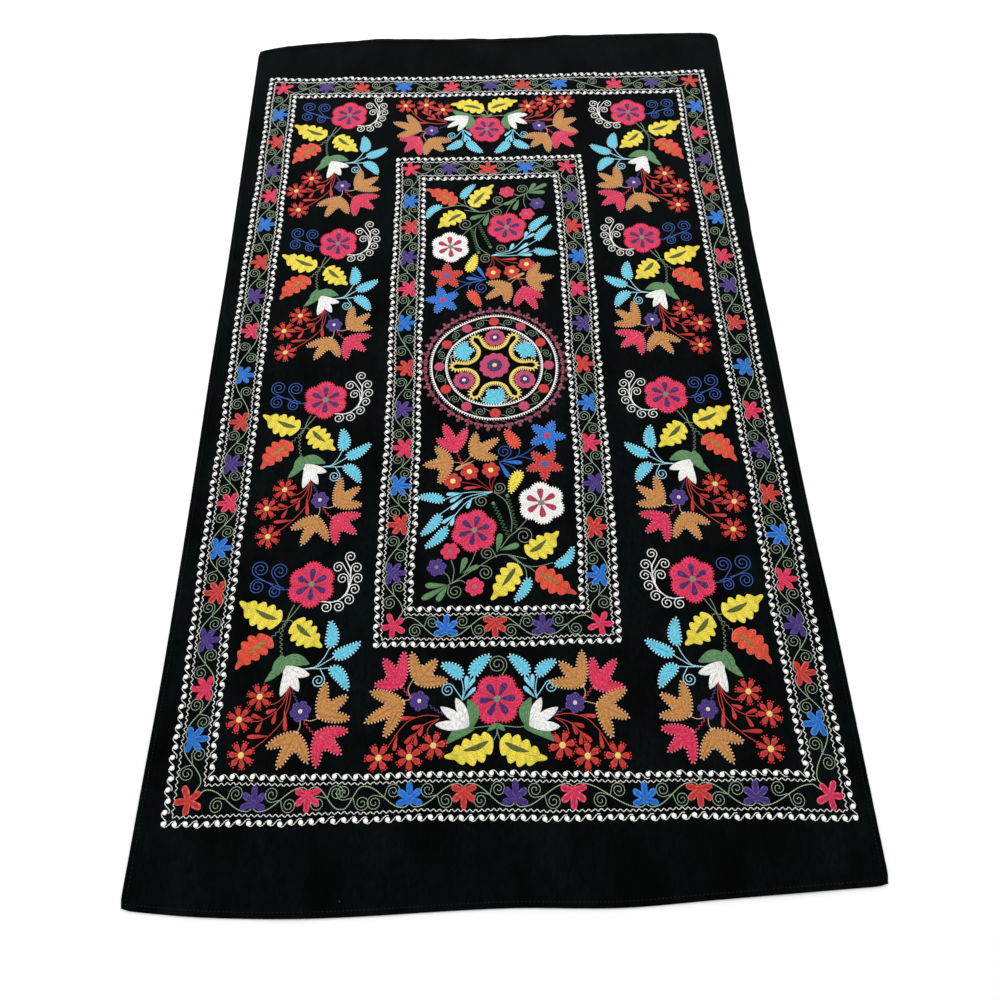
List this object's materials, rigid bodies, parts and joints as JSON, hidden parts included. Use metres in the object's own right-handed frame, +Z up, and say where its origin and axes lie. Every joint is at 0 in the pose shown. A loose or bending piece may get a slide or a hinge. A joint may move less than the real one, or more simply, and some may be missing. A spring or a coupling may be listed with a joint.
{
  "type": "suzani embroidered velvet cloth",
  "caption": "Rectangular black velvet cloth lying nearly flat, with a turned hem and a few soft folds, embroidered all over in coloured chain stitch.",
  "frame": {"origin": "on the floor, under the middle of the cloth's box", "axes": "+X across the cloth, +Y along its length towards the far end, +Z up off the floor"},
  "size_m": [1.4099, 2.4008, 0.0076],
  "materials": {
    "velvet_black": "cotton velvet, short nap, matte with a faint sheen",
    "thread_white": "matte cotton thread in chain stitch",
    "thread_pink": "slightly glossy thread in chain stitch",
    "thread_rose": "matte cotton thread in chain stitch",
    "thread_red": "slightly glossy thread in chain stitch",
    "thread_orange": "slightly glossy thread in chain stitch",
    "thread_yellow": "slightly glossy thread in chain stitch",
    "thread_tan": "matte cotton thread in chain stitch",
    "thread_cyan": "slightly glossy thread in chain stitch",
    "thread_blue": "slightly glossy thread in chain stitch",
    "thread_purple": "slightly glossy thread in chain stitch",
    "thread_green": "matte cotton thread in chain stitch",
    "thread_sage": "matte cotton thread in chain stitch"
  },
  "bodies": {
    "root": {"velvet_panel": "velvet_black"}
  },
  "joints": []
}
